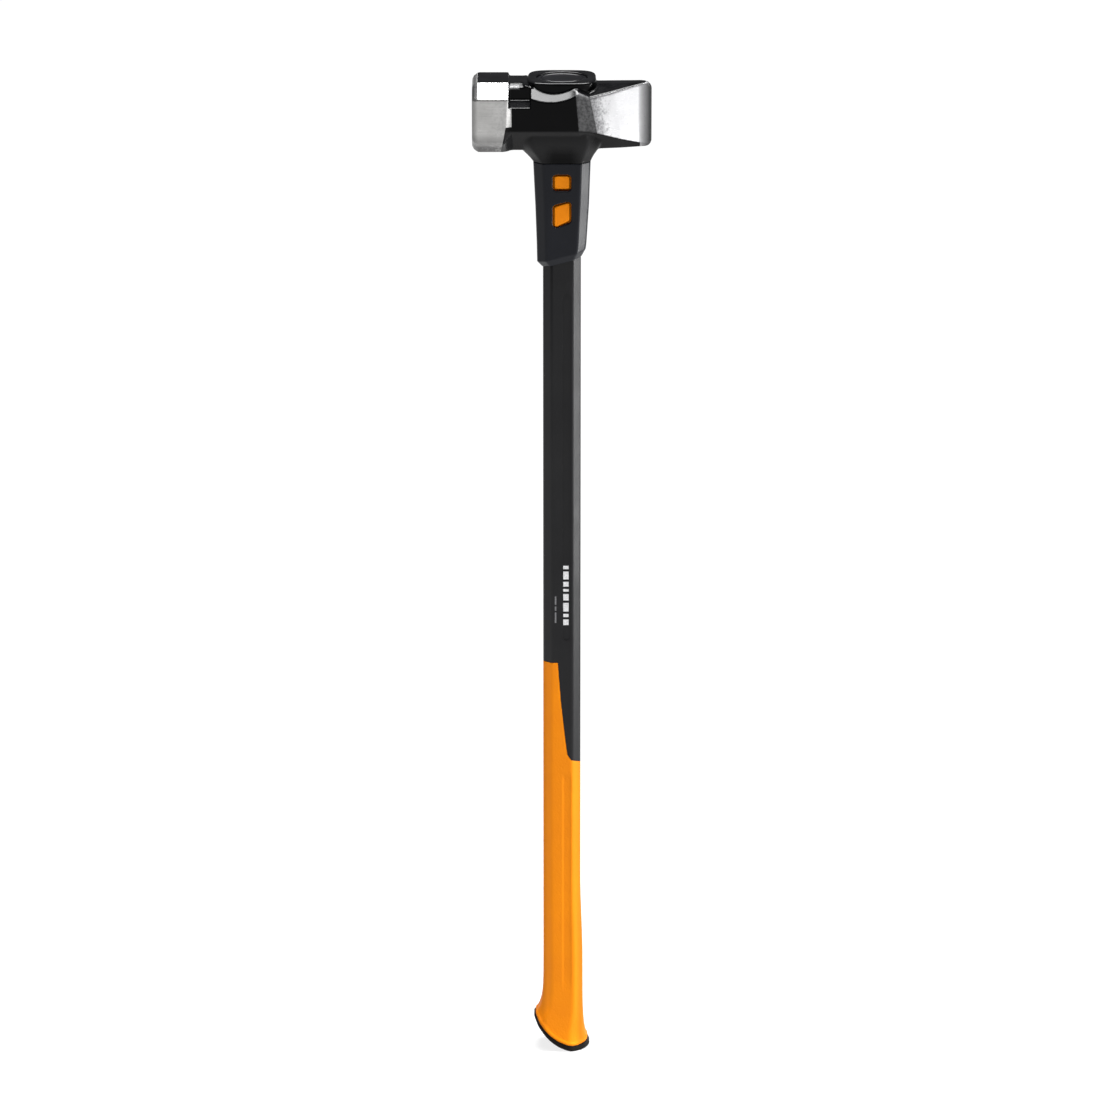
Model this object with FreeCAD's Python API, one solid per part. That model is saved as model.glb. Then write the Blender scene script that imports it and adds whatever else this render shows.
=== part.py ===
import FreeCAD, Part
import math
import os

# Splitting maul: a forged head on a two-layer composite handle with a moulded collar and an
# overmoulded grip. Millimetres. The origin is on the handle's axis at the lowest point of the
# butt, +Z runs along the handle to the head, +X points to the cutting edge and Y = 0 is the
# plane of symmetry.

V = FreeCAD.Vector

# ---- driving dimensions -------------------------------------------------------------------

OVERALL_LENGTH = 921.0
HEAD_LENGTH = 159.0

# forged head, sections across X: the poll at -X and the wedge at +X
POLL_TOP = 920.4
POLL_BOTTOM = 856.6
POLL_HALF_Y = 33.4
POLL_CUT_Y = 15.5
POLL_CUT_Z = 11.8
POLL_RIM = 5.5
POLL_REAR_X = -49.3
POLL_REAR_LEAN = 0.08
LEAN_CENTRE_Z = 891.6
SHOULDER_RUN = 4.6
NECK_TOP = 915.8
NECK_BOTTOM = 857.8
NECK_HALF_Y = 31.3
NECK_SIDE_TOP = 914.3
NECK_SIDE_BOTTOM = 878.8
NECK_CUT_Y_TOP = 2.6
NECK_CUT_Y_BOTTOM = 15.5
RIDGE_TOP = 919.0
RIDGE_SIDE_TOP = 909.1
RIDGE_CUT_Y = 19.6
RIDGE_LEAN = -0.07
RIDGE_END_X = -34.5
NOTCH_X = (-46.6, -27.5)
NOTCH_HALF_Y = 18.5
NOTCH_FLOOR = (904.4, 900.3)
SCOOP_X = -10.0
SCOOP_Z = 911.3
SCOOP_RADIUS = 56.0
SCOOP_ANGLE = 40.0
BAND_START_X = 13.8
BAND_START_LEAN = -0.08
BAND_END_X = 28.1
BAND_END_LEAN = -0.20
CHEEK_HALF_Y = 26.0
CHEEK_TOP = 908.5
CHEEK_CUT_Y = 20.0
CHEEK_BOTTOM = 876.0
CHEEK_BULGE = 1.6
BEVEL_X = 70.0
BEVEL_HALF_Y = 6.4
BEVEL_SIDE_TOP = 916.2
BEVEL_SIDE_BOTTOM = 862.2
EDGE_TOP = 916.6
EDGE_HALF_Y = 0.8
EDGE_CORNER_RADIUS = 6.0
FORGED_RADIUS = 2.2
LEDGE_TRIM = 0.3

BOSS_HALF_X = 30.3
BOSS_HALF_Y = 24.0
BOSS_BASE = 903.3
BOSS_BASE_SQUARENESS = 2.4
BOSS_TOP_SQUARENESS = 4.2
BOSS_RIM_RADIUS = 1.6
SKIRT_BOTTOM = 846.0
SKIRT_HEM_RISE = 6.0
SKIRT_HEM_X = (-30.5, 28.5)
SKIRT_HIP_RISE = 16.0
SKIRT_HIP_X = (-39.5, 34.5)
SKIRT_ROOT_RISE = 30.0
SKIRT_ROOT_X = (-40.0, 35.0)
EYE_HALF_X = 17.0
EYE_HALF_Y = 12.6
EYE_SINK_HALF_X = 22.5
EYE_SINK_HALF_Y = 17.0
EYE_SINK_FLOOR = 912.5

# what fills the eye above the insulation sleeve
BUSHING_BOTTOM = 886.0
LOCK_RING_THICKNESS = 3.2
EYE_PLUG_TOP = 920.0
EYE_PLUG_RIM_RADIUS = 1.2

# handle layers: half sizes across X and Y
CORE_HALF_X = 10.8
CORE_HALF_Y = 8.0
DAMPING_THICKNESS = 1.5
SHAFT_HALF_X = 16.9
SHAFT_HALF_Y = 13.6
GRIP_THICKNESS = 2.4
SHELL_TOP = 778.0
SHELL_BOTTOM = 80.0
CORE_BOTTOM = 36.0
CHANNEL_X = 4.6
CHANNEL_WIDTH = 7.6
CHANNEL_DEPTH = 0.7
CHANNEL_TOP = 725.0
CHANNEL_BOTTOM = 398.0

# collar
COLLAR_HALF_Y = 19.4
COLLAR_TOP_HALF_X = 25.5
COLLAR_WALL = 4.0
COLLAR_WAIST_Z = 805.0
COLLAR_WAIST_X = (-23.6, 24.0)
COLLAR_LOWER_Z = 759.5
COLLAR_LOWER_X = (-22.4, 21.8)
COLLAR_FOOT_X = (-22.1, 21.2)
COLLAR_TILT = 0.27
COLLAR_CUT_X = 8.5
COLLAR_CUT_Y = 8.0
COLLAR_CORNER_RADIUS = 4.0
WINDOW_HALF_X = 6.6
WINDOW_CORNER_RADIUS = 1.6
SMALL_WINDOW_Z = (822.8, 834.4)
LARGE_WINDOW_Z = (790.4, 808.2)
LARGE_WINDOW_RISE = 6.4
WINDOW_GAP = 1.7
WINDOW_RECESS = 1.2

# grip and butt: the heel hooks out at -X, the toe has a short lip at +X
TONGUE_TOP = 376.6
TONGUE_ROOT = 279.6
TONGUE_SIDE = ((16.9, 0.0), (8.4, 3.4), (5.2, 8.4), (3.6, 20.0))
TONGUE_NECK = (-0.8, 37.0)
TONGUE_TIP_X = -3.5
FLARE_TOP = 167.0
SWELL_FULL_Z = 85.0
HEEL_Z = 32.0
HEEL_REACH = 8.8
HEEL_DECAY = 8.9
TOE_SWELL = 2.1
TOE_REACH = 8.4
TOE_DECAY = 12.0
SIDE_SWELL = 1.2
SIDE_REACH = 6.0
SIDE_DECAY = 28.0
BUTT_END = ((-27.5, 35.5), (-20.8, 22.6), (-9.9, 9.2), (0.0, 3.0), (13.5, 0.0), (26.6, 4.4))
BELOW_BUTT = -12.0
END_PLATE = 5.0
END_PLATE_TOE = 7.0
FORMER_WALL = 2.8
SPIGOT_HALF_X = 9.0
SPIGOT_HALF_Y = 7.0
SPIGOT_BOTTOM = 3.0
SPIGOT_TOP = 24.0

# ---- outlines -----------------------------------------------------------------------------


def rounded_wire(corners, radius):
    """Closed wire through the corners, each one rounded by an arc."""
    count = len(corners)
    arcs = []
    for i in range(count):
        corner = corners[i]
        before = (corners[i - 1] - corner).normalize()
        after = (corners[(i + 1) % count] - corner).normalize()
        half_angle = before.getAngle(after) / 2
        setback = radius / math.tan(half_angle)
        bisector = (before + after).normalize()
        to_arc = radius / math.sin(half_angle) - radius
        arcs.append((corner + before * setback, corner + bisector * to_arc, corner + after * setback))
    edges = []
    for i in range(count):
        start, middle, end = arcs[i]
        edges.append(Part.Arc(start, middle, end).toShape())
        edges.append(Part.LineSegment(end, arcs[(i + 1) % count][0]).toShape())
    return Part.Wire(edges)


def octagon(z, low_x, high_x, half_y, cut_x, cut_y, radius, tilt=0):
    """Rounded octagon at height z, its corners cut by cut_x and cut_y. tilt is its rise along X."""
    half = [(low_x, half_y - cut_y), (low_x + cut_x, half_y),
            (high_x - cut_x, half_y), (high_x, half_y - cut_y)]
    outline = [(x, -y) for x, y in half] + list(reversed(half))
    return rounded_wire([V(x, y, z + tilt * x) for x, y in outline], radius)


def handle_section(z, half_x, half_y):
    """Section of the handle's layers: an octagon whose cuts keep their share of each side."""
    return octagon(z, -half_x, half_x, half_y, half_x * 0.44, half_y * 0.48, half_x * 0.24)


def rod(half_x, half_y, bottom, top):
    """Straight length of a handle layer, solid through."""
    return Part.Face(handle_section(bottom, half_x, half_y)).extrude(V(0, 0, top - bottom))


def oval_rod(half_x, half_y, bottom, top):
    """Upright elliptic cylinder."""
    ellipse = Part.Ellipse(V(0, 0, bottom), half_x, half_y).toShape()
    return Part.Face(Part.Wire([ellipse])).extrude(V(0, 0, top - bottom))


def squared_oval(half_x, half_y, squareness, z):
    """Closed oval wire at height z, fuller at the corners than an ellipse."""
    steps = 48
    points = []
    for i in range(steps):
        angle = 2 * math.pi * i / steps
        cosine = math.cos(angle)
        sine = math.sin(angle)
        x = math.copysign(abs(cosine) ** (2 / squareness), cosine) * half_x
        y = math.copysign(abs(sine) ** (2 / squareness), sine) * half_y
        points.append(V(x, y, z))
    curve = Part.BSplineCurve()
    curve.interpolate(Points=points, PeriodicFlag=True)
    return Part.Wire([curve.toShape()])


def side_outline(points, radius=0):
    """Prism across the whole depth, over a closed outline of (x, z) points."""
    depth = 4 * POLL_HALF_Y
    corners = [V(x, -depth / 2, z) for x, z in points]
    if radius:
        wire = rounded_wire(corners, radius)
    else:
        wire = Part.makePolygon(corners + corners[:1])
    return Part.Face(wire).extrude(V(0, depth, 0))


# ---- head ---------------------------------------------------------------------------------


def head_section(x, lean, half_y, top, side_top, side_bottom, bottom, cut_top, cut_bottom):
    """Octagon across the head. lean moves the section along X as it rises or falls."""
    half = [
        (half_y - cut_bottom, bottom), (half_y, side_bottom),
        (half_y, side_top), (half_y - cut_top, top),
    ]
    outline = [(-y, z) for y, z in half] + [(y, z) for y, z in reversed(half)]
    corners = [V(x + lean * (z - LEAN_CENTRE_Z), y, z) for y, z in outline]
    return rounded_wire(corners, min(FORGED_RADIUS, half_y * 0.12))


def poll_section(x, lean, inset):
    return head_section(
        x, lean, POLL_HALF_Y - inset, POLL_TOP - inset, POLL_TOP - POLL_CUT_Z - inset / 2,
        POLL_BOTTOM + POLL_CUT_Z + inset / 2, POLL_BOTTOM - LEDGE_TRIM + inset,
        POLL_CUT_Y - inset / 2, POLL_CUT_Y - inset / 2)


def neck_section(x, lean):
    return head_section(
        x, lean, NECK_HALF_Y, NECK_TOP, NECK_SIDE_TOP, NECK_SIDE_BOTTOM, NECK_BOTTOM - LEDGE_TRIM,
        NECK_CUT_Y_TOP, NECK_CUT_Y_BOTTOM)


def ridge_section(x, lean):
    """Section between the poll and the eye, before its two notches are cut."""
    return head_section(
        x, lean, NECK_HALF_Y, RIDGE_TOP, RIDGE_SIDE_TOP, NECK_SIDE_BOTTOM, NECK_BOTTOM - LEDGE_TRIM,
        RIDGE_CUT_Y, NECK_CUT_Y_BOTTOM)


def head_body():
    """Poll, shoulder, neck, band, cheeks and bevelled edge as one run of sections along X."""
    face_x = -HEAD_LENGTH / 2
    edge_x = HEAD_LENGTH / 2
    sections = [
        poll_section(face_x, 0, POLL_RIM),
        poll_section(face_x + POLL_RIM * 0.3, 0, POLL_RIM * 0.45),
        poll_section(face_x + POLL_RIM, 0, 0),
        poll_section(POLL_REAR_X, POLL_REAR_LEAN, 0),
        ridge_section(POLL_REAR_X + SHOULDER_RUN, RIDGE_LEAN),
        ridge_section(RIDGE_END_X, 0),
        neck_section(NOTCH_X[1], 0),
        neck_section(BAND_START_X, BAND_START_LEAN),
        head_section(
            BAND_END_X, BAND_END_LEAN, CHEEK_HALF_Y, NECK_TOP, CHEEK_TOP, CHEEK_BOTTOM,
            NECK_BOTTOM - LEDGE_TRIM, CHEEK_CUT_Y, NECK_CUT_Y_BOTTOM),
        head_section(
            (BAND_END_X + BEVEL_X) / 2, BAND_END_LEAN / 2, (CHEEK_HALF_Y + BEVEL_HALF_Y) / 2 + CHEEK_BULGE,
            (NECK_TOP + EDGE_TOP) / 2, (CHEEK_TOP + BEVEL_SIDE_TOP) / 2,
            (CHEEK_BOTTOM + BEVEL_SIDE_BOTTOM) / 2, NECK_BOTTOM - LEDGE_TRIM,
            CHEEK_CUT_Y * 0.62, NECK_CUT_Y_BOTTOM * 0.65),
    ]
    bevel_steps = 3
    edge_side_bottom = NECK_BOTTOM + 0.4
    for i in range(bevel_steps + 1):
        share = i / bevel_steps
        half_y = BEVEL_HALF_Y + (EDGE_HALF_Y - BEVEL_HALF_Y) * share ** 1.3
        sections.append(head_section(
            BEVEL_X + (edge_x - BEVEL_X) * share, 0, half_y, EDGE_TOP,
            BEVEL_SIDE_TOP, BEVEL_SIDE_BOTTOM + (edge_side_bottom - BEVEL_SIDE_BOTTOM) * share,
            NECK_BOTTOM - LEDGE_TRIM, half_y * 0.3, half_y * 0.5))
    return Part.makeLoft(sections, True, True)


def edge_corners():
    """The two corners that are rounded off the cutting edge, seen from the side."""
    edge_x = HEAD_LENGTH / 2
    width = 40
    overshoot = 2
    corners = []
    for z, inward in ((EDGE_TOP, -1), (NECK_BOTTOM, 1)):
        low_z = z if inward > 0 else z - EDGE_CORNER_RADIUS
        block = Part.makeBox(
            3 * EDGE_CORNER_RADIUS, width, EDGE_CORNER_RADIUS + overshoot,
            V(edge_x - EDGE_CORNER_RADIUS, -width / 2, low_z - (overshoot if inward > 0 else 0)))
        centre = V(edge_x - EDGE_CORNER_RADIUS, -width / 2, z + inward * EDGE_CORNER_RADIUS)
        corners.append(block.cut(Part.makeCylinder(EDGE_CORNER_RADIUS, width, centre, V(0, 1, 0))))
    return corners


def notches():
    """Pockets at both sides of the ridge between the poll and the eye boss."""
    low_x, high_x = NOTCH_X
    floor_in, floor_out = NOTCH_FLOOR
    outer = NECK_HALF_Y + 4
    drop = (floor_in - floor_out) / (NECK_HALF_Y - NOTCH_HALF_Y)
    outline = [
        (NOTCH_HALF_Y, floor_in), (outer, floor_in - drop * (outer - NOTCH_HALF_Y)),
        (outer, POLL_TOP + 1), (NOTCH_HALF_Y, POLL_TOP + 1)]
    cuts = []
    for side in (-1, 1):
        face = Part.Face(Part.makePolygon([V(low_x, side * y, z) for y, z in outline + outline[:1]]))
        cuts.append(face.extrude(V(high_x - low_x, 0, 0)))
    return cuts


def scoops():
    """Round-bottomed slopes down both shoulders of the neck, outside the eye boss."""
    angle = math.radians(SCOOP_ANGLE)
    length = 60
    cuts = []
    for side in (-1, 1):
        outward = V(0, side * math.cos(angle), -math.sin(angle))
        upward = V(0, side * math.sin(angle), math.cos(angle))
        bottom_point = V(SCOOP_X, side * BOSS_HALF_Y, SCOOP_Z)
        start = bottom_point + upward * SCOOP_RADIUS - outward * (length / 3)
        cuts.append(Part.makeCylinder(SCOOP_RADIUS, length, start, outward))
    return cuts


def below_ledges():
    """Waste under the poll and under the neck and wedge, whose undersides are level planes."""
    wide = 4 * POLL_HALF_Y
    deep = 10
    step_x = POLL_REAR_X + SHOULDER_RUN / 2
    poll = Part.makeBox(
        HEAD_LENGTH, wide, deep, V(step_x - HEAD_LENGTH, -wide / 2, POLL_BOTTOM - deep))
    wedge = Part.makeBox(HEAD_LENGTH, wide, deep, V(step_x, -wide / 2, NECK_BOTTOM - deep))
    return [poll, wedge]


def skirt():
    """Flare under the eye, from the head's lower chamfers down to the collar."""
    sections = [
        octagon(SKIRT_BOTTOM + SKIRT_ROOT_RISE, *SKIRT_ROOT_X, NECK_HALF_Y - 3.5, 14, 9, 6),
        octagon(SKIRT_BOTTOM + SKIRT_HIP_RISE, *SKIRT_HIP_X, NECK_HALF_Y - 7, 13, 9, 6),
        octagon(SKIRT_BOTTOM + SKIRT_HEM_RISE, *SKIRT_HEM_X, COLLAR_HALF_Y + 0.9, 10, 9, 5),
        collar_section(SKIRT_BOTTOM, -COLLAR_TOP_HALF_X, COLLAR_TOP_HALF_X, COLLAR_HALF_Y),
    ]
    return Part.makeLoft(sections, True, False)


def eye_boss():
    """Raised rim round the top of the eye, squarer at the top than where it meets the neck."""
    boss = Part.makeLoft([
        squared_oval(BOSS_HALF_X, BOSS_HALF_Y, BOSS_BASE_SQUARENESS, BOSS_BASE),
        squared_oval(BOSS_HALF_X, BOSS_HALF_Y, BOSS_TOP_SQUARENESS, OVERALL_LENGTH)], True, True)
    rim = [e for e in boss.Edges if abs(e.CenterOfMass.z - OVERALL_LENGTH) < 0.01]
    return boss.makeFillet(BOSS_RIM_RADIUS, rim)


def head_forging():
    body = head_body()
    for waste in edge_corners() + notches() + scoops() + below_ledges():
        body = body.cut(waste)
    head = body.fuse([skirt(), eye_boss()]).removeSplitter()
    eye = Part.Face(eye_section(SKIRT_BOTTOM)).extrude(V(0, 0, OVERALL_LENGTH - SKIRT_BOTTOM))
    sink = oval_rod(EYE_SINK_HALF_X, EYE_SINK_HALF_Y, EYE_SINK_FLOOR, OVERALL_LENGTH)
    return head.cut(eye).cut(sink)


def eye_section(z):
    return handle_section(z, EYE_HALF_X, EYE_HALF_Y)


# ---- what fills the eye -------------------------------------------------------------------


def eye_bushing():
    """Rigid moulded lining between the core and the upper half of the eye."""
    body = rod(EYE_HALF_X, EYE_HALF_Y, BUSHING_BOTTOM, EYE_SINK_FLOOR)
    return body.cut(rod(CORE_HALF_X, CORE_HALF_Y, BUSHING_BOTTOM, EYE_SINK_FLOOR))


def lock_ring():
    """Flat ring in the counterbore, round the core's upper end, that keeps the head on."""
    top = EYE_SINK_FLOOR + LOCK_RING_THICKNESS
    ring = oval_rod(EYE_SINK_HALF_X, EYE_SINK_HALF_Y, EYE_SINK_FLOOR, top)
    return ring.cut(rod(CORE_HALF_X, CORE_HALF_Y, EYE_SINK_FLOOR, top))


def eye_plug():
    """Cover moulded over the ring and the core's end, with a slightly domed face."""
    bottom = EYE_SINK_FLOOR + LOCK_RING_THICKNESS
    plug = oval_rod(EYE_SINK_HALF_X, EYE_SINK_HALF_Y, bottom, EYE_PLUG_TOP)
    rim = [e for e in plug.Edges if abs(e.CenterOfMass.z - EYE_PLUG_TOP) < 0.01]
    return plug.makeFillet(EYE_PLUG_RIM_RADIUS, rim)


# ---- collar and insulation sleeve ---------------------------------------------------------


def collar_section(z, low_x, high_x, half_y, trim=0, tilt=0):
    """Section of the collar, its corner cuts smaller by trim."""
    return octagon(
        z, low_x, high_x, half_y, COLLAR_CUT_X - trim, COLLAR_CUT_Y - trim, COLLAR_CORNER_RADIUS, tilt)


def collar_outer():
    """Tapered eight-sided body whose tilted lower end slopes in to the shaft."""
    foot_slope = 6.5
    rim = 0.7
    sections = [
        collar_section(SKIRT_BOTTOM, -COLLAR_TOP_HALF_X, COLLAR_TOP_HALF_X, COLLAR_HALF_Y),
        collar_section(COLLAR_WAIST_Z, *COLLAR_WAIST_X, COLLAR_HALF_Y - 0.5),
        collar_section(COLLAR_LOWER_Z + 10.5, *COLLAR_LOWER_X, COLLAR_HALF_Y - 1.6, 0.5),
        collar_section(COLLAR_LOWER_Z, *COLLAR_FOOT_X, COLLAR_HALF_Y - 1.9, 0.5, COLLAR_TILT),
        collar_section(
            COLLAR_LOWER_Z - foot_slope, -SHAFT_HALF_X - rim, SHAFT_HALF_X + rim, SHAFT_HALF_Y + rim,
            1.2, COLLAR_TILT),
    ]
    return Part.makeLoft(sections, True, True)


def sleeve_body():
    """The part of the insulation sleeve that the collar encloses."""
    half_x = COLLAR_TOP_HALF_X - COLLAR_WALL
    half_y = COLLAR_HALF_Y - COLLAR_WALL - 0.4
    return rod(half_x, half_y, SHELL_TOP, SKIRT_BOTTOM)


def windows(gap):
    """Prisms for the small upper lug and the large one with slanted ends, widened by gap."""
    half = WINDOW_HALF_X + gap
    radius = WINDOW_CORNER_RADIUS + gap
    low, high = SMALL_WINDOW_Z[0] - gap, SMALL_WINDOW_Z[1] + gap
    small = side_outline([(-half, low), (half, low), (half, high), (-half, high)], radius)
    low, high = LARGE_WINDOW_Z[0] - gap, LARGE_WINDOW_Z[1] + gap
    low_rise = LARGE_WINDOW_RISE / 2
    high_rise = LARGE_WINDOW_RISE / 3
    large = side_outline([
        (-half, low - low_rise), (half, low + low_rise),
        (half, high + high_rise), (-half, high - high_rise)], radius)
    return small, large


def collar():
    """Moulded guard under the head, with windows that the sleeve's lugs stand in."""
    shaft_hole = rod(SHAFT_HALF_X, SHAFT_HALF_Y, COLLAR_LOWER_Z - 40, SHELL_TOP)
    body = collar_outer().cut(sleeve_body()).cut(shaft_hole)
    for window in windows(WINDOW_GAP):
        body = body.cut(window)
    return body


def insulation_sleeve():
    """Soft sleeve between the core and the eye, and between the core and the collar."""
    body = sleeve_body().fuse(rod(EYE_HALF_X, EYE_HALF_Y, SKIRT_BOTTOM, BUSHING_BOTTOM))
    lug_half_y = COLLAR_HALF_Y - WINDOW_RECESS
    height = SKIRT_BOTTOM - SHELL_TOP
    slab = Part.makeBox(
        4 * WINDOW_HALF_X, 2 * lug_half_y, height, V(-2 * WINDOW_HALF_X, -lug_half_y, SHELL_TOP))
    for lug in windows(0):
        body = body.fuse(lug.common(slab))
    core_hole = rod(CORE_HALF_X, CORE_HALF_Y, SHELL_TOP, BUSHING_BOTTOM)
    return body.removeSplitter().cut(core_hole)


# ---- handle -------------------------------------------------------------------------------


def handle_core():
    """Fibreglass rod that runs from the butt to the top of the eye."""
    return rod(CORE_HALF_X, CORE_HALF_Y, CORE_BOTTOM, EYE_SINK_FLOOR + LOCK_RING_THICKNESS)


def damping_layer():
    """Soft inner layer of the handle, between the core and the shell."""
    outer = rod(
        CORE_HALF_X + DAMPING_THICKNESS, CORE_HALF_Y + DAMPING_THICKNESS, SHELL_BOTTOM, SHELL_TOP)
    return outer.cut(rod(CORE_HALF_X, CORE_HALF_Y, SHELL_BOTTOM, SHELL_TOP))


def grip_region():
    """Side outline of all that the grip covers, with its tongue up the poll side."""
    side = 60
    outline = [(-side, -20), (side, -20), (side, TONGUE_ROOT - 0.4)]
    outline += [(x, TONGUE_ROOT + rise) for x, rise in TONGUE_SIDE]
    outline += [
        (TONGUE_NECK[0], TONGUE_TOP - TONGUE_NECK[1]), (TONGUE_TIP_X, TONGUE_TOP), (-side, TONGUE_TOP)]
    return side_outline(outline)


def channel():
    """Shallow round-ended recess down one face of the shell."""
    radius = CHANNEL_WIDTH / 2
    face_y = -SHAFT_HALF_Y
    length = CHANNEL_TOP - CHANNEL_BOTTOM - CHANNEL_WIDTH
    box = Part.makeBox(
        CHANNEL_WIDTH, 2 * CHANNEL_DEPTH, length,
        V(CHANNEL_X - radius, face_y - CHANNEL_DEPTH, CHANNEL_BOTTOM + radius))
    ends = [
        Part.makeCylinder(radius, 2 * CHANNEL_DEPTH, V(CHANNEL_X, face_y - CHANNEL_DEPTH, z), V(0, 1, 0))
        for z in (CHANNEL_BOTTOM + radius, CHANNEL_TOP - radius)]
    return box.fuse(ends)


def reduced_shell(bottom, top):
    """The shell under the grip, thinner by the grip's thickness."""
    return rod(SHAFT_HALF_X - GRIP_THICKNESS, SHAFT_HALF_Y - GRIP_THICKNESS, bottom, top)


def shaft_shell():
    """Hard outer layer of the handle, stepped in where the grip is moulded over it."""
    full = rod(SHAFT_HALF_X, SHAFT_HALF_Y, SHELL_BOTTOM, SHELL_TOP).cut(grip_region())
    body = full.fuse(reduced_shell(SHELL_BOTTOM, SHELL_TOP)).removeSplitter()
    front = channel()
    body = body.cut(front).cut(front.mirror(V(0, 0, 0), V(0, 1, 0)))
    return body.cut(rod(
        CORE_HALF_X + DAMPING_THICKNESS, CORE_HALF_Y + DAMPING_THICKNESS, SHELL_BOTTOM, SHELL_TOP))


# ---- grip and butt ------------------------------------------------------------------------


def ease(share):
    """Smooth step from 0 to 1."""
    share = min(max(share, 0.0), 1.0)
    return share * share * (3 - 2 * share)


def flare_section(z, inset):
    """Section of the flared butt at height z, every side moved in by inset."""
    swell = ease((FLARE_TOP - z) / (FLARE_TOP - SWELL_FULL_Z))
    if z > HEEL_Z:
        hook = HEEL_REACH * math.exp((HEEL_Z - z) / HEEL_DECAY)
    else:
        hook = HEEL_REACH + (HEEL_Z - z) * HEEL_REACH / HEEL_DECAY
    lip = TOE_REACH * math.exp(-max(z, 0) / TOE_DECAY)
    low_x = -SHAFT_HALF_X - hook + inset
    high_x = SHAFT_HALF_X + TOE_SWELL * swell + lip - inset
    depth = SHAFT_HALF_Y + SIDE_SWELL * swell + SIDE_REACH * math.exp(-max(z, 0) / SIDE_DECAY) - inset
    width = high_x - low_x
    return octagon(z, low_x, high_x, depth, width * 0.22, depth * 0.48, width * 0.12)


def flare_body(inset, top):
    """Loft down the flared butt from top, every side moved in by inset."""
    steps = 14
    sections = [flare_section(top + (BELOW_BUTT - top) * i / steps, inset) for i in range(steps + 1)]
    return Part.makeLoft(sections, True, False)


def butt_curve(lift, toe_lift):
    """Everything above the butt's slanted, bulging end, raised by lift and at the toe by toe_lift."""
    points = [V(x, 0, z + lift) for x, z in BUTT_END]
    points[-1].z += toe_lift - lift
    curve = Part.BSplineCurve()
    curve.interpolate(points)
    heel, toe = points[0], points[-1]
    far = 80
    high = 400
    corners = [toe, V(far, 0, toe.z), V(far, 0, high), V(-far, 0, high), V(-far, 0, heel.z), heel]
    edges = [curve.toShape()]
    edges += [Part.LineSegment(a, b).toShape() for a, b in zip(corners, corners[1:])]
    half_depth = 60
    face = Part.Face(Part.Wire(edges))
    face.translate(V(0, -half_depth, 0))
    return face.extrude(V(0, 2 * half_depth, 0))


def above_end_plate():
    return butt_curve(END_PLATE, END_PLATE_TOE)


def grip():
    """Soft overmould from the tongue down to the end plate."""
    straight = rod(SHAFT_HALF_X, SHAFT_HALF_Y, FLARE_TOP, TONGUE_TOP).common(grip_region())
    body = straight.fuse(flare_body(0, FLARE_TOP)).removeSplitter().common(above_end_plate())
    return body.cut(reduced_shell(SHELL_BOTTOM, TONGUE_TOP)).cut(butt_former_outer())


def butt_former_outer():
    """Hard inner flare: it follows the grip's outside and meets the shell's lower end."""
    half_x = SHAFT_HALF_X - GRIP_THICKNESS
    half_y = SHAFT_HALF_Y - GRIP_THICKNESS
    sections = [handle_section(SHELL_BOTTOM, half_x, half_y)]
    steps = 6
    top = SHELL_BOTTOM - 14
    drop = BELOW_BUTT - top
    sections += [flare_section(top + drop * i / steps, FORMER_WALL) for i in range(steps + 1)]
    return Part.makeLoft(sections, True, True).common(above_end_plate())


def spigot():
    """Oval post on the end plate that is glued into the former."""
    return oval_rod(SPIGOT_HALF_X, SPIGOT_HALF_Y, SPIGOT_BOTTOM, SPIGOT_TOP)


def butt_former():
    body = butt_former_outer()
    return body.cut(rod(CORE_HALF_X, CORE_HALF_Y, CORE_BOTTOM, SHELL_BOTTOM)).cut(spigot())


def butt_cap():
    """End plate over the former and the grip, with its post."""
    plate = flare_body(0, FLARE_TOP).common(butt_curve(0, 0)).cut(above_end_plate())
    post = spigot().common(above_end_plate())
    return plate.fuse(post).removeSplitter()


# ---- output -------------------------------------------------------------------------------

NODES = {
    "head_forging": head_forging,
    "eye_bushing": eye_bushing,
    "lock_ring": lock_ring,
    "eye_plug": eye_plug,
    "insulation_sleeve": insulation_sleeve,
    "collar": collar,
    "handle_core": handle_core,
    "damping_layer": damping_layer,
    "shaft_shell": shaft_shell,
    "butt_former": butt_former,
    "grip": grip,
    "butt_cap": butt_cap,
}

os.makedirs("parts", exist_ok=True)
for name, build in NODES.items():
    shape = build()
    box = shape.BoundBox
    print(
        name, shape.ShapeType, "solids", len(shape.Solids), "valid", shape.isValid(),
        "volume", round(shape.Volume / 1000, 2), "cm3",
        [round(v, 2) for v in (box.XMin, box.XMax, box.YMin, box.YMax, box.ZMin, box.ZMax)])
    shape.exportStep("parts/" + name + ".step")
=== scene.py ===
import bmesh
import bpy
import math
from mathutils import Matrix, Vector
from mathutils.bvhtree import BVHTree


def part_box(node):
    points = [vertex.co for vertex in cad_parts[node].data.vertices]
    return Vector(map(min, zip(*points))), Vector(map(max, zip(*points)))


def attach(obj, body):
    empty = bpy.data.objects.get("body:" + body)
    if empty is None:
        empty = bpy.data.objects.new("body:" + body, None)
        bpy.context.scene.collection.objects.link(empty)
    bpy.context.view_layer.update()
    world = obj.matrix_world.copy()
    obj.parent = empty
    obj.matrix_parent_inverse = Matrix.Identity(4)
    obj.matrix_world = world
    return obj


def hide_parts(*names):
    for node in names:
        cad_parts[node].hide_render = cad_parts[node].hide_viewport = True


# Splitting maul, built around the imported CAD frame. Metres, +Z along the handle to the head,
# +X towards the cutting edge.

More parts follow.
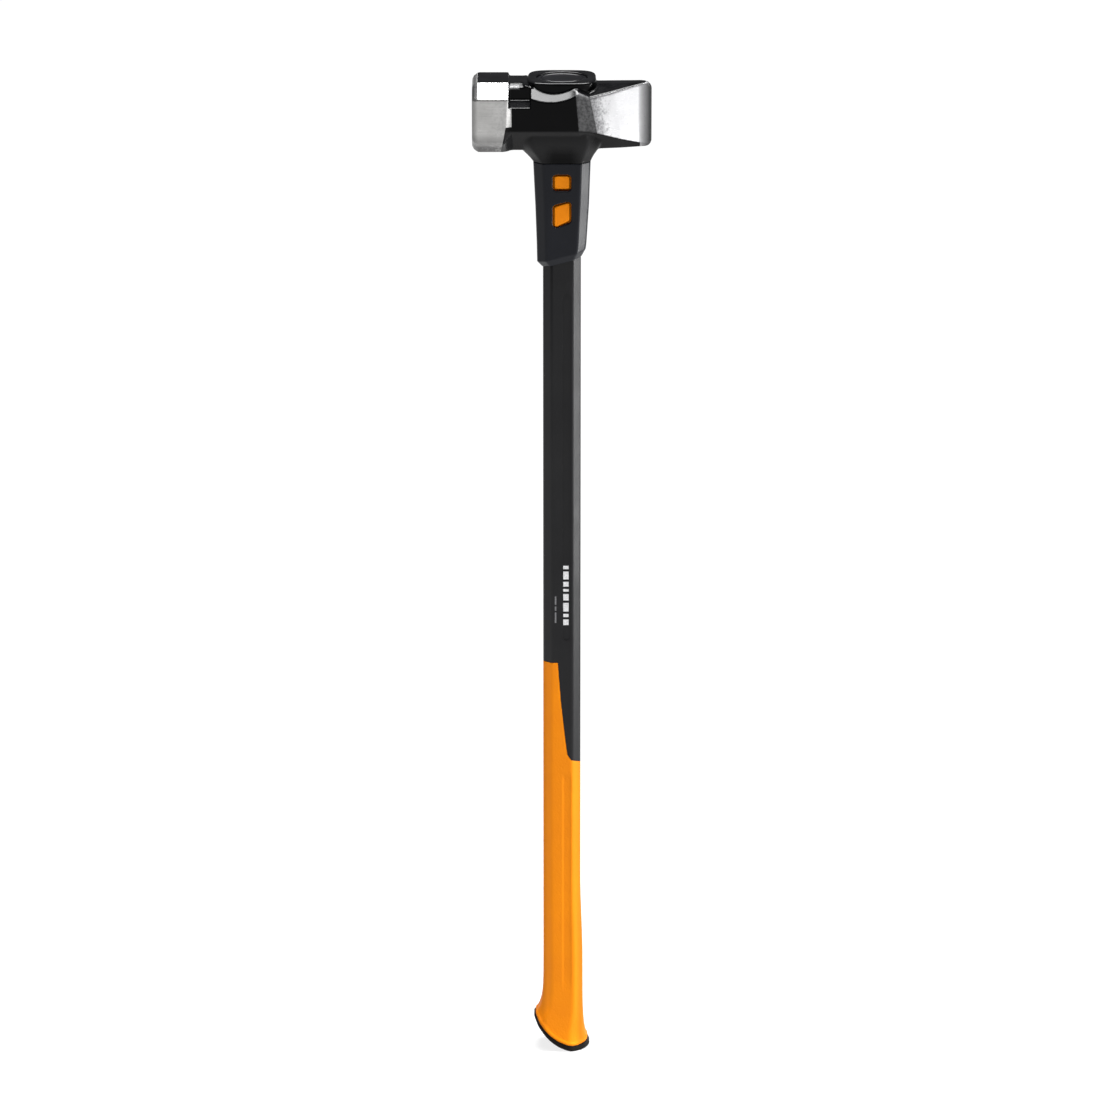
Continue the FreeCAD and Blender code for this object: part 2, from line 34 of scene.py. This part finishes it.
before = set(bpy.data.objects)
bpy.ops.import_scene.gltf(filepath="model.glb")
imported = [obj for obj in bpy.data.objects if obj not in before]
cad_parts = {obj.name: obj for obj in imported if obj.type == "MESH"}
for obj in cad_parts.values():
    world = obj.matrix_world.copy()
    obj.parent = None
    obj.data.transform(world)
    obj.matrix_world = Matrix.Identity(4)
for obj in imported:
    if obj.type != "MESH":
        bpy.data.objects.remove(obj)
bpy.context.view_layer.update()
scene = bpy.context.scene
MM = 0.001

head_low, head_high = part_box("head_forging")
shaft_low, shaft_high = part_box("shaft_shell")
plug_low, plug_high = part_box("eye_plug")

# ---- sizes --------------------------------------------------------------------------------

# vertices of a CAD mesh nearer than this are one vertex
WELD_DISTANCE = 0.02 * MM

# grip: the bead above the end plate, and the channel down both faces
BEAD_WIDTH = 3.6 * MM
BEAD_HEIGHT = 0.55 * MM
BEAD_BELOW_Z = 0.05
CHANNEL_X = 4.6 * MM
CHANNEL_DEPTH = 0.45 * MM
CHANNEL_FLOOR_HALF_WIDTH = 3.0 * MM
CHANNEL_HALF_WIDTH = 4.2 * MM
CHANNEL_LOW_START_Z, CHANNEL_LOW_FULL_Z = 0.055, 0.075
CHANNEL_HIGH_FULL_Z, CHANNEL_HIGH_END_Z = 0.262, 0.272
FACE_MARGIN = 0.6 * MM

# shaft: depth of the moulded channel's floor that the bars are printed on
SHAFT_CHANNEL_DEPTH = 0.7 * MM
INK_HALF_THICKNESS = 0.05 * MM

# orange parts: between these distances from the middle they get painted shade, darker down both
# narrow sides
GRIP_SIDE_START = 0.0130
GRIP_SIDE_END = 0.0172

# head: where its paint stops. A line in the XZ plane is (place, slope), leaning as the
# forging's own edges lean: upright ones start at LEAN_CENTRE_Z, level ones at X = 0.
LEAN_CENTRE_Z = 0.8916
POLL_LINE = (-0.0478, 0.02)
POLL_LOWER_LINE = (-0.0482, 0.175)
POLL_TOP_MARGIN = 1.1 * MM
POLL_UNDER_Z = 0.868
POLL_CHAMFER_Z = 0.9092
SHOULDER_END_X = -0.0445
SHOULDER_HALF_Z = 0.0085
RIDGE_END_X = -0.0375
RIDGE_LOW_Z = 0.9138
RIDGE_HIGH_Z = 0.9176
BAND_START_LINE = (0.0138, -0.08)
BAND_LINE = (0.0281, -0.20)
BAND_TOP_LINE = (0.9216, -0.53)
BAND_BOTTOM_LINE = (0.8812, -0.165)
CHEEK_TOP_LINE = (0.9038, 0.170)
CHEEK_BOTTOM_LINE = (0.8871, -0.356)
BEVEL_START = 0.0676
BEVEL_END = head_high.x - 1.6 * MM
SKIRT_ROOT_Z = 0.8788
SKIRT_END_X = 0.030
SKIRT_WAIST_Z = 0.8600

# ---- meshes -------------------------------------------------------------------------------


def link(name, data):
    """New object in the scene that shows the given mesh, light or camera."""
    piece = bpy.data.objects.new(name, data)
    scene.collection.objects.link(piece)
    return piece


def place(piece, material, replaced=()):
    """Finishes a piece: its material, the body it rides on and the CAD nodes it stands for."""
    piece.data.materials.clear()
    piece.data.materials.append(material)
    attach(piece, "root")
    if replaced:
        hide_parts(*replaced)
    return piece


def bake_modifiers(piece):
    """Applies the piece's modifiers to its mesh."""
    graph = bpy.context.evaluated_depsgraph_get()
    mesh = bpy.data.meshes.new_from_object(piece.evaluated_get(graph))
    piece.modifiers.clear()
    piece.data = mesh
    return piece


def eased(node, name, voxel, passes):
    """Evenly divided copy of a CAD node with its hard edges rounded over by smoothing."""
    piece = link(name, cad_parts[node].data.copy())
    weld = piece.modifiers.new("weld", "WELD")
    weld.merge_threshold = WELD_DISTANCE
    remesh = piece.modifiers.new("remesh", "REMESH")
    remesh.mode = "VOXEL"
    remesh.voxel_size = voxel
    smooth = piece.modifiers.new("smooth", "SMOOTH")
    smooth.factor = 0.5
    smooth.iterations = passes
    bake_modifiers(piece)
    for face in piece.data.polygons:
        face.use_smooth = True
    return piece


def soften_edges(piece, width):
    """Rounds the sharp edges of a CAD node with modifiers, which leave its own mesh alone."""
    weld = piece.modifiers.new("weld", "WELD")
    weld.merge_threshold = WELD_DISTANCE
    bevel = piece.modifiers.new("bevel", "BEVEL")
    bevel.width = width
    bevel.segments = 3
    bevel.limit_method = "ANGLE"
    bevel.angle_limit = math.radians(35)
    bevel.harden_normals = True
    return piece


def ramp(value, low, high):
    """Smooth step from 0 at low to 1 at high."""
    share = min(max((value - low) / (high - low), 0.0), 1.0)
    return share * share * (3 - 2 * share)


def shape_grip(piece):
    """Raises a bead along the grip's lower edge and presses a shallow channel down both faces."""
    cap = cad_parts["butt_cap"].data
    tree = BVHTree.FromPolygons([v.co for v in cap.vertices], [p.vertices for p in cap.polygons])
    moves = []
    for vertex in piece.data.vertices:
        co, normal = vertex.co, vertex.normal
        move = 0.0
        if co.z < BEAD_BELOW_Z and normal.z > -0.5:
            distance = tree.find_nearest(co)[3]
            if distance < BEAD_WIDTH:
                move += BEAD_HEIGHT * math.sin(math.pi * distance / BEAD_WIDTH)
        across = 1 - ramp(abs(co.x - CHANNEL_X), CHANNEL_FLOOR_HALF_WIDTH, CHANNEL_HALF_WIDTH)
        starts = ramp(co.z, CHANNEL_LOW_START_Z, CHANNEL_LOW_FULL_Z)
        stops = ramp(co.z, CHANNEL_HIGH_FULL_Z, CHANNEL_HIGH_END_Z)
        on_face = abs(normal.y) > 0.7 and abs(co.y) > shaft_high.y - FACE_MARGIN
        if on_face:
            move -= CHANNEL_DEPTH * across * starts * (1 - stops)
        moves.append(normal * move)
    for vertex, move in zip(piece.data.vertices, moves):
        vertex.co += move
    return piece


def oval_disc(name, centre, half_x, half_y, profile, segments=96):
    """Oval cover: profile lists (share of the radius, height) from the rim to the middle."""
    mesh = bmesh.new()
    rings = []
    for share, height in profile:
        ring = []
        for i in range(segments):
            angle = 2 * math.pi * i / segments
            ring.append(mesh.verts.new((
                centre[0] + half_x * share * math.cos(angle),
                centre[1] + half_y * share * math.sin(angle), height)))
        rings.append(ring)
    for outer, inner in zip(rings, rings[1:]):
        for i in range(segments):
            j = (i + 1) % segments
            mesh.faces.new((outer[i], outer[j], inner[j], inner[i]))
    mesh.faces.new(rings[-1])
    mesh.faces.new(list(reversed(rings[0])))
    data = bpy.data.meshes.new(name)
    mesh.to_mesh(data)
    mesh.free()
    for face in data.polygons:
        face.use_smooth = len(face.vertices) == 4
    return link(name, data)


BOX_FACES = ((0, 1, 3, 2), (4, 6, 7, 5), (0, 4, 5, 1), (2, 3, 7, 6), (0, 2, 6, 4), (1, 5, 7, 3))


def plates(name, boxes):
    """One mesh of thin upright plates, each given by its low and high corner."""
    mesh = bmesh.new()
    for low, high in boxes:
        corners = [
            mesh.verts.new((x, y, z))
            for x in (low[0], high[0]) for y in (low[1], high[1]) for z in (low[2], high[2])]
        for face in BOX_FACES:
            mesh.faces.new([corners[i] for i in face])
    bmesh.ops.recalc_face_normals(mesh, faces=mesh.faces)
    data = bpy.data.meshes.new(name)
    mesh.to_mesh(data)
    mesh.free()
    return link(name, data)


# ---- node material helpers ----------------------------------------------------------------


class Finish:
    """A node material with one Principled shader, and short ways to wire it."""

    def __init__(self, name):
        self.material = bpy.data.materials.new(name)
        self.material.use_nodes = True
        self.nodes = self.material.node_tree.nodes
        self.links = self.material.node_tree.links
        self.shader = self.nodes["Principled BSDF"]
        self.place = self.nodes.new("ShaderNodeTexCoord").outputs["Object"]

    def set(self, **values):
        """Sets constants on the shader's own sockets."""
        for name, value in values.items():
            self.shader.inputs[name.replace("_", " ")].default_value = value

    def wire(self, source, socket):
        """Links a value or colour to one of the shader's sockets."""
        self.links.new(source, self.shader.inputs[socket])

    def fill(self, socket, value):
        """Gives a socket a plain number, or links another socket to it."""
        if isinstance(value, (int, float)):
            socket.default_value = value
        else:
            self.links.new(value, socket)

    def math(self, operation, *values):
        node = self.nodes.new("ShaderNodeMath")
        node.operation = operation
        for socket, value in zip(node.inputs, values):
            self.fill(socket, value)
        return node.outputs[0]

    def plus(self, first, second):
        return self.math("ADD", first, second)

    def minus(self, first, second):
        return self.math("SUBTRACT", first, second)

    def times(self, first, second):
        return self.math("MULTIPLY", first, second)

    def least(self, first, *others):
        """Smallest of several values: above 0 only where all of them are."""
        smallest = first
        for value in others:
            smallest = self.math("MINIMUM", smallest, value)
        return smallest

    def axes(self):
        """The X, Y and Z of each point."""
        split = self.nodes.new("ShaderNodeSeparateXYZ")
        self.links.new(self.place, split.inputs[0])
        return split.outputs

    def stretched(self, scale):
        """Each point's place, scaled by a factor for each axis."""
        mapping = self.nodes.new("ShaderNodeMapping")
        mapping.inputs["Scale"].default_value = scale
        self.links.new(self.place, mapping.inputs["Vector"])
        return mapping.outputs[0]

    def noise(self, scale, detail=3.0, roughness=0.5, vector=None):
        node = self.nodes.new("ShaderNodeTexNoise")
        node.inputs["Scale"].default_value = scale
        node.inputs["Detail"].default_value = detail
        node.inputs["Roughness"].default_value = roughness
        self.links.new(vector or self.place, node.inputs["Vector"])
        return node.outputs[0]

    def cells(self, scale):
        """Distance to the nearest of many scattered points."""
        node = self.nodes.new("ShaderNodeTexVoronoi")
        node.inputs["Scale"].default_value = scale
        self.links.new(self.place, node.inputs["Vector"])
        return node.outputs["Distance"]

    def spread(self, value, low, high, to_low=0.0, to_high=1.0):
        """Maps low to to_low and high to to_high, and holds those values outside them."""
        node = self.nodes.new("ShaderNodeMapRange")
        node.clamp = True
        numbers = {"From Min": low, "From Max": high, "To Min": to_low, "To Max": to_high}
        for name, number in numbers.items():
            node.inputs[name].default_value = number
        self.links.new(value, node.inputs["Value"])
        return node.outputs[0]

    def mix(self, share, low, high):
        """Colour between two colours or sockets."""
        node = self.nodes.new("ShaderNodeMix")
        node.data_type = "RGBA"
        self.links.new(share, node.inputs[0])
        for socket, value in ((node.inputs[6], low), (node.inputs[7], high)):
            if isinstance(value, tuple):
                socket.default_value = (*value, 1)
            else:
                self.links.new(value, socket)
        return node.outputs[2]

    def bump(self, height, distance, strength=1.0, under=None):
        """Relief of the given depth, on top of another bump where one is given."""
        node = self.nodes.new("ShaderNodeBump")
        node.inputs["Strength"].default_value = strength
        node.inputs["Distance"].default_value = distance
        self.links.new(height, node.inputs["Height"])
        if under:
            self.links.new(under, node.inputs["Normal"])
        self.links.new(node.outputs[0], self.shader.inputs["Normal"])
        return node.outputs[0]


# ---- the head's material ------------------------------------------------------------------


class HeadFinish(Finish):
    """Gloss black paint over forged steel, with the poll and both cheeks ground bright.

    Regions are distances, above 0 inside them, which spread turns into shares from 0 to 1.
    """

    def __init__(self):
        super().__init__("head_paint_and_ground_steel")
        self.x, _, self.z = self.axes()
        self.height = self.minus(self.z, LEAN_CENTRE_Z)
        self.wobble = self.times(self.minus(self.noise(260, detail=4), 0.5), 0.7 * MM)
        along_head = self.stretched((45, 700, 2600))
        self.lines = self.noise(1.0, detail=5, roughness=0.6, vector=along_head)
        self.blotches = self.noise(55, detail=4, roughness=0.6)
        rear = self.least(self.leaning(POLL_LINE, self.height),
                          self.leaning(POLL_LOWER_LINE, self.height))
        self.before_rear = self.minus(rear, self.x)
        self.past_band = self.minus(self.x, self.leaning(BAND_LINE, self.height))
        # share of painted shade on the bevel, rising towards the cutting edge
        self.edge_shade = self.math("POWER", self.spread(self.x, BEVEL_START, BEVEL_END), 0.42)

    def leaning(self, line, along):
        """Where a leaning line lies, for each point's distance along it."""
        start, slope = line
        return self.plus(self.times(along, slope), start)

    def bare_share(self):
        """1 on the bare steel of the poll and both cheeks, 0 on paint, with an uneven edge."""
        mid_height = self.minus(SHOULDER_HALF_Z, self.math("ABSOLUTE", self.height))
        shoulder = self.least(self.minus(SHOULDER_END_X, self.x), mid_height)
        on_poll = self.math("MAXIMUM", self.before_rear, shoulder)
        on_poll = self.least(on_poll, self.minus(head_high.z - POLL_TOP_MARGIN, self.z))
        below_top = self.minus(self.leaning(CHEEK_TOP_LINE, self.x), self.z)
        above_bottom = self.minus(self.z, self.leaning(CHEEK_BOTTOM_LINE, self.x))
        on_bevel = self.minus(self.x, BEVEL_START + 1.5 * MM)
        low_edge = self.math("MAXIMUM", above_bottom, on_bevel)
        on_cheek = self.least(self.past_band, below_top, low_edge)
        inside = self.plus(self.math("MAXIMUM", on_poll, on_cheek), self.wobble)
        return self.spread(inside, -0.15 * MM, 0.25 * MM)

    def poll_steel(self):
        """Ground steel, spotted away from the face; rim, upper chamfer and underside darkened as
        painted shade.
        """
        mottle = self.spread(self.blotches, 0.3, 0.75)
        steel = self.mix(mottle, (0.45, 0.445, 0.435), (0.60, 0.595, 0.585))
        # painted shade: the poll's underside darkened where it would mirror the floor below
        under = self.spread(self.z, POLL_UNDER_Z - 5 * MM, POLL_UNDER_Z + 9 * MM, 1, 0)
        steel = self.mix(under, steel, (0.032, 0.030, 0.029))
        near_rear = self.spread(self.before_rear, 0, 15 * MM, 0.12, -0.1)
        spots = self.plus(self.noise(330, roughness=0.6), near_rear)
        steel = self.mix(self.spread(spots, 0.46, 0.68, 0, 0.5), steel, (0.33, 0.33, 0.325))
        # painted shade: the upper chamfer darkened to dim its highlight from the top softbox
        chamfer = self.spread(self.z, POLL_CHAMFER_Z - 1 * MM, POLL_CHAMFER_Z + 1 * MM, 0, 0.6)
        steel = self.mix(chamfer, steel, (0.2, 0.2, 0.205))
        # painted shade: the striking face's rim darkened as if it mirrored a dark surround
        rim = self.spread(self.x, head_low.x, head_low.x + 5.5 * MM, 0.85, 0)
        return self.mix(rim, steel, (0.09, 0.09, 0.09))

    def cheek_steel(self):
        """Ground steel, flecked and duller beside the grey band, with painted shade towards the edge.
        """
        mottle = self.spread(self.blotches, 0.3, 0.75)
        steel = self.mix(mottle, (0.52, 0.52, 0.53), (0.64, 0.64, 0.65))
        near_band = self.spread(self.past_band, 0, 18 * MM, 0.09, -0.3)
        fleck = self.plus(self.noise(430, roughness=0.65), near_band)
        steel = self.mix(self.spread(fleck, 0.34, 0.68), steel, (0.15, 0.15, 0.155))
        beside_band = self.spread(self.past_band, 0, 10 * MM, 0.42, 0)
        steel = self.mix(beside_band, steel, (0.16, 0.16, 0.165))
        # painted shade: the bevel darkened towards the cutting edge
        return self.mix(self.edge_shade, steel, (0.006, 0.006, 0.0065))

    def steel(self):
        """Poll on one side of the eye and cheek on the other, with the grinder's scratches."""
        side = self.spread(self.x, -1 * MM, 1 * MM)
        steel = self.mix(side, self.poll_steel(), self.cheek_steel())
        scratches = self.spread(self.lines, 0.35, 0.75, 0.0, 0.25)
        scratches = self.times(scratches, self.minus(1.0, self.edge_shade))
        return self.mix(scratches, steel, (0.22, 0.22, 0.225))

    def band_share(self):
        """1 on the band between the black side and the bright cheek, painted grey as a reflection."""
        started = self.minus(self.x, self.leaning(BAND_START_LINE, self.height))
        below_top = self.minus(self.leaning(BAND_TOP_LINE, self.x), self.z)
        above_bottom = self.minus(self.z, self.leaning(BAND_BOTTOM_LINE, self.x))
        inside = self.plus(self.least(started, below_top, above_bottom), self.wobble)
        return self.spread(inside, -0.3 * MM, 0.6 * MM)

    def ridge_share(self):
        """1 on the narrow upper edge between the poll and the boss, which gets a painted highlight.
        """
        before_end = self.minus(RIDGE_END_X, self.x)
        above_low = self.minus(self.z, RIDGE_LOW_Z)
        below_high = self.minus(RIDGE_HIGH_Z, self.z)
        inside = self.plus(self.least(before_end, above_low, below_high), self.wobble)
        return self.spread(inside, -0.3 * MM, 0.9 * MM)

    def skirt_share(self):
        """1 on the skirt and the underside, 0 down the middle of the skirt's waist, for the painted
        reflection.
        """
        below_root = self.spread(self.z, SKIRT_ROOT_Z - 1 * MM, SKIRT_ROOT_Z + 1 * MM, 1, 0)
        before_wedge = self.spread(self.x, SKIRT_END_X - 6 * MM, SKIRT_END_X, 1, 0)
        waist = self.spread(self.z, SKIRT_WAIST_Z - 5 * MM, SKIRT_WAIST_Z + 5 * MM, 1, 0)
        middle = self.spread(self.math("ABSOLUTE", self.x), 8 * MM, 17 * MM, 1, 0)
        outside_waist = self.minus(1.0, self.times(waist, middle))
        return self.times(self.times(below_root, before_wedge), outside_waist)

    def paint(self):
        """Black paint, with painted reflections on band and skirt and a painted highlight on the
        ridge.
        """
        mottle = self.spread(self.blotches, 0.35, 0.7)
        paint = self.mix(mottle, (0.0005, 0.0005, 0.0006), (0.0012, 0.0012, 0.0014))
        # painted reflection: the band's paint greyed and speckled as if its slope mirrored a brighter
        # surround
        speckle = self.spread(self.noise(380, roughness=0.6), 0.36, 0.64)
        band_reflection = self.mix(speckle, (0.030, 0.030, 0.031), (0.066, 0.066, 0.067))
        paint = self.mix(self.band_share(), paint, band_reflection)
        # painted highlight: the ridge's paint lightened where it would catch the top softbox
        paint = self.mix(self.ridge_share(), paint, (0.045, 0.045, 0.046))
        # painted reflection: the skirt's paint greyed as if mirroring the floor, left black down its
        # waist as painted shade
        return self.mix(self.skirt_share(), paint, (0.013, 0.013, 0.0135))

    def build(self):
        """Wires the shader: colour, metal, gloss and relief."""
        bare = self.bare_share()
        self.wire(self.mix(bare, self.paint(), self.steel()), "Base Color")
        # the bevel's painted shade also makes its steel less metallic
        away_from_edge_shade = self.minus(1.0, self.math("POWER", self.edge_shade, 3.0))
        self.wire(self.times(bare, away_from_edge_shade), "Metallic")
        steel_rough = self.spread(self.lines, 0.25, 0.75, 0.24, 0.42)
        paint_rough = self.spread(self.blotches, 0.3, 0.7, 0.16, 0.24)
        rougher = self.times(self.minus(steel_rough, paint_rough), bare)
        self.wire(self.plus(paint_rough, rougher), "Roughness")
        self.set(Specular_IOR_Level=0.08)
        peel = self.bump(self.noise(420), 0.05 * MM, 0.5)
        self.bump(self.times(self.lines, bare), 0.03 * MM, 0.6, peel)
        return self.material


# ---- the other materials ------------------------------------------------------------------


def moulded(name, dark, light, rough, grain, relief, shine=0.2):
    """Moulded plastic: a fine spark texture, and a slow drift of tone and gloss."""
    finish = Finish(name)
    drift = finish.noise(28)
    finish.wire(finish.mix(finish.spread(drift, 0.3, 0.7), dark, light), "Base Color")
    finish.wire(finish.spread(drift, 0.3, 0.7, rough - 0.04, rough + 0.04), "Roughness")
    finish.set(Specular_IOR_Level=shine)
    finish.bump(finish.noise(grain, detail=4, roughness=0.65), relief, 0.6)
    return finish.material


def soft_orange(name, dimples):
    """Orange elastomer with a dimpled, slightly mottled surface, and painted shade down both narrow
    sides.
    """
    finish = Finish(name)
    drift = finish.noise(35, detail=4)
    mottle = finish.spread(drift, 0.3, 0.7)
    orange = finish.mix(mottle, (0.87, 0.244, 0.0016), (0.91, 0.268, 0.0022))
    from_middle = finish.math("ABSOLUTE", finish.axes()[0])
    side_shade = finish.spread(from_middle, GRIP_SIDE_START, GRIP_SIDE_END, 0, 0.5)
    # painted shade: both narrow sides darkened as if less lit
    finish.wire(finish.mix(side_shade, orange, (0.46, 0.112, 0.001)), "Base Color")
    finish.wire(finish.spread(drift, 0.3, 0.7, 0.5, 0.6), "Roughness")
    finish.set(Specular_IOR_Level=0.12)
    fine = finish.bump(finish.noise(1700), 0.05 * MM, 0.5)
    if dimples:
        finish.bump(finish.spread(finish.cells(430), 0.15, 0.5), 0.14 * MM, 0.5, fine)
    return finish.material


def brushed(name):
    """Bright steel with fine lines along X."""
    finish = Finish(name)
    along_x = finish.stretched((40, 1500, 1500))
    lines = finish.noise(1.0, detail=4, roughness=0.6, vector=along_x)
    finish.wire(finish.mix(lines, (0.45, 0.45, 0.46), (0.66, 0.66, 0.67)), "Base Color")
    finish.wire(finish.spread(lines, 0.2, 0.8, 0.25, 0.42), "Roughness")
    finish.set(Metallic=1.0)
    finish.bump(lines, 0.03 * MM, 0.5)
    return finish.material


def glass_fibre(name):
    """Pultruded rod: pale resin with fibres along Z."""
    finish = Finish(name)
    along_z = finish.stretched((2200, 2200, 14))
    strands = finish.noise(1.0, detail=5, roughness=0.7, vector=along_z)
    finish.wire(finish.mix(strands, (0.62, 0.54, 0.30), (0.86, 0.80, 0.58)), "Base Color")
    finish.wire(finish.spread(strands, 0.2, 0.8, 0.30, 0.45), "Roughness")
    finish.bump(strands, 0.04 * MM, 0.5)
    return finish.material


def ink(name, grain, worn, fresh):
    """Printed ink, rubbed thin in small patches."""
    finish = Finish(name)
    wear = finish.noise(grain, detail=4, roughness=0.7)
    finish.wire(finish.mix(finish.spread(wear, 0.35, 0.6), worn, fresh), "Base Color")
    finish.wire(finish.spread(wear, 0.3, 0.7, 0.42, 0.6), "Roughness")
    return finish.material


black_shaft = moulded(
    "shaft_plastic", dark=(0.007, 0.007, 0.008), light=(0.011, 0.011, 0.012),
    rough=0.36, grain=1500, relief=0.035 * MM)
black_collar = moulded(
    "collar_plastic", dark=(0.005, 0.006, 0.009), light=(0.008, 0.009, 0.013),
    rough=0.30, grain=1200, relief=0.02 * MM, shine=0.17)
black_gloss = moulded(
    "plug_plastic", dark=(0.0008, 0.0008, 0.001), light=(0.0016, 0.0016, 0.002),
    rough=0.34, grain=900, relief=0.03 * MM, shine=0.09)
black_butt = moulded(
    "butt_plastic", dark=(0.005, 0.0035, 0.003), light=(0.008, 0.006, 0.005),
    rough=0.5, grain=1300, relief=0.08 * MM, shine=0.12)
grey_moulded = moulded(
    "bushing_plastic", dark=(0.09, 0.09, 0.09), light=(0.13, 0.13, 0.13),
    rough=0.5, grain=900, relief=0.05 * MM)
damping_rubber = moulded(
    "damping_rubber", dark=(0.05, 0.05, 0.05), light=(0.08, 0.08, 0.08),
    rough=0.6, grain=700, relief=0.08 * MM)

# ---- pieces -------------------------------------------------------------------------------

head = eased("head_forging", "head", voxel=0.65 * MM, passes=10)
place(head, HeadFinish().build(), ["head_forging"])


def eye_cover():
    """Oval cover with a rounded rim, a groove inside it and a slightly domed middle."""
    top = plug_high.z
    profile = [
        (1.0, plug_low.z), (1.0, top - 1.3 * MM), (0.985, top - 0.6 * MM), (0.95, top - 0.2 * MM),
        (0.90, top - 0.1 * MM), (0.86, top - 0.3 * MM), (0.84, top - 1.0 * MM),
        (0.81, top - 1.0 * MM), (0.79, top - 0.35 * MM), (0.72, top), (0.45, top + 0.35 * MM),
        (0.15, top + 0.45 * MM)]
    centre = (plug_low + plug_high) / 2
    half = (plug_high - plug_low) / 2
    return oval_disc("eye_cover", centre, half.x, half.y, profile)


place(eye_cover(), black_gloss, ["eye_plug"])

collar = eased("collar", "collar_guard", voxel=0.55 * MM, passes=3)
place(collar, black_collar, ["collar"])

sleeve = eased("insulation_sleeve", "sleeve", voxel=0.7 * MM, passes=3)
place(sleeve, soft_orange("sleeve_orange", dimples=False), ["insulation_sleeve"])

grip = shape_grip(eased("grip", "grip_overmould", voxel=0.75 * MM, passes=3))
place(grip, soft_orange("grip_orange", dimples=True), ["grip"])

end_plate = eased("butt_cap", "butt_plate", voxel=0.55 * MM, passes=3)
place(end_plate, black_butt, ["butt_cap"])

# the CAD nodes that stay, each with a finish of its own
kept = {
    "shaft_shell": black_shaft,
    "eye_bushing": grey_moulded,
    "lock_ring": brushed("ring_steel"),
    "handle_core": glass_fibre("core_fibreglass"),
    "damping_layer": damping_rubber,
    "butt_former": grey_moulded,
}
for node, material in kept.items():
    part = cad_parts[node]
    part.data.materials.clear()
    part.data.materials.append(material)
soften_edges(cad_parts["shaft_shell"], 0.5 * MM)


def printed_strip(name, low_x, high_x, face_y, top, lengths, gap, material):
    """Column of flat bars on the shaft, from top downwards."""
    bars = []
    for length in lengths:
        low = (low_x, face_y - INK_HALF_THICKNESS, top - length)
        high = (high_x, face_y + INK_HALF_THICKNESS, top)
        bars.append((low, high))
        top -= length + gap
    place(plates(name, bars), material)


# plain printed bars in the shaft's channel, and a faint thin strip beside them
printed_strip(
    "print_bars", low_x=1.2 * MM, high_x=6.1 * MM, face_y=shaft_low.y + SHAFT_CHANNEL_DEPTH,
    top=0.469, gap=2.3 * MM,
    lengths=[length * MM for length in (3.2, 7.4, 4.6, 2.4, 6.2, 8.2, 3.0, 5.4)],
    material=ink("print_ink", 900, (0.62, 0.62, 0.63), (0.92, 0.92, 0.93)))
printed_strip(
    "print_strip", low_x=-6.4 * MM, high_x=-5.0 * MM, face_y=shaft_low.y,
    top=0.440, gap=1.6 * MM,
    lengths=[length * MM for length in (8.0, 4.0, 10.0)],
    material=ink("faint_ink", 1100, (0.09, 0.09, 0.095), (0.22, 0.22, 0.23)))

# ---- floor, light and camera --------------------------------------------------------------


def floor(half_side):
    """Pale floor that gives off light of its own, so that it renders white."""
    mesh = bpy.data.meshes.new("floor")
    corners = [(-1, -1), (1, -1), (1, 1), (-1, 1)]
    mesh.from_pydata([(x * half_side, y * half_side, 0) for x, y in corners], [], [(0, 1, 2, 3)])
    piece = link("floor", mesh)
    finish = Finish("floor_paper")
    finish.wire(finish.mix(finish.noise(3), (0.19, 0.19, 0.19), (0.20, 0.20, 0.20)), "Base Color")
    finish.set(Roughness=0.8, Specular_IOR_Level=0.0)
    finish.set(Emission_Color=(1, 1, 1, 1), Emission_Strength=0.82)
    mesh.materials.append(finish.material)


def aim(thing, place_at, target):
    """Puts a lamp or camera in its place, looking at the target."""
    thing.location = place_at
    towards = Vector(target) - Vector(place_at)
    thing.rotation_euler = towards.to_track_quat("-Z", "Y").to_euler()


def soft_light(name, place_at, target, size, power):
    """Softbox: size is its width and height in metres."""
    data = bpy.data.lights.new(name, "AREA")
    data.shape = "RECTANGLE"
    data.size, data.size_y = size
    data.energy = power
    lamp = link(name, data)
    lamp.visible_camera = False
    aim(lamp, place_at, target)


def soft_sun(name, direction, strength, spread):
    """Broad light from far away: spread is its width in degrees."""
    data = bpy.data.lights.new(name, "SUN")
    data.energy = strength
    data.angle = math.radians(spread)
    lamp = link(name, data)
    aim(lamp, direction, (0, 0, 0))


def sky(strength):
    """Even pale light from all round."""
    world = bpy.data.worlds.new("studio")
    world.use_nodes = True
    background = world.node_tree.nodes["Background"]
    background.inputs["Color"].default_value = (0.97, 0.98, 1.0, 1)
    background.inputs["Strength"].default_value = strength
    scene.world = world


def camera(distance, elevation, lens, target):
    """Long lens in front of the tool, looking down at it by the elevation in degrees."""
    data = bpy.data.cameras.new("camera")
    data.lens = lens
    data.sensor_width = 36
    data.clip_end = 50
    thing = link("camera", data)
    slope = math.radians(elevation)
    away = Vector((0, -math.cos(slope), math.sin(slope))) * distance
    aim(thing, Vector(target) + away, target)
    scene.camera = thing


floor(half_side=9.0)
sky(strength=0.12)
soft_sun("overhead", direction=(0.25, -0.08, 1.0), strength=3.0, spread=60)
soft_light("top_box", (0.0, 0.02, 1.40), target=(0, 0, 0.92), size=(0.56, 0.28), power=32)
soft_light("right_box", (1.3, -0.12, 0.5), target=(0, 0, 0.6), size=(0.22, 1.3), power=23)
soft_light("cheek_box", (1.0, -0.95, 0.45), target=(0.03, 0, 0.9), size=(0.4, 0.4), power=1.3)
camera(distance=7.0, elevation=18.5, lens=249.3, target=(-0.0017, 0, 0.4702))
scene.view_settings.view_transform = "Standard"
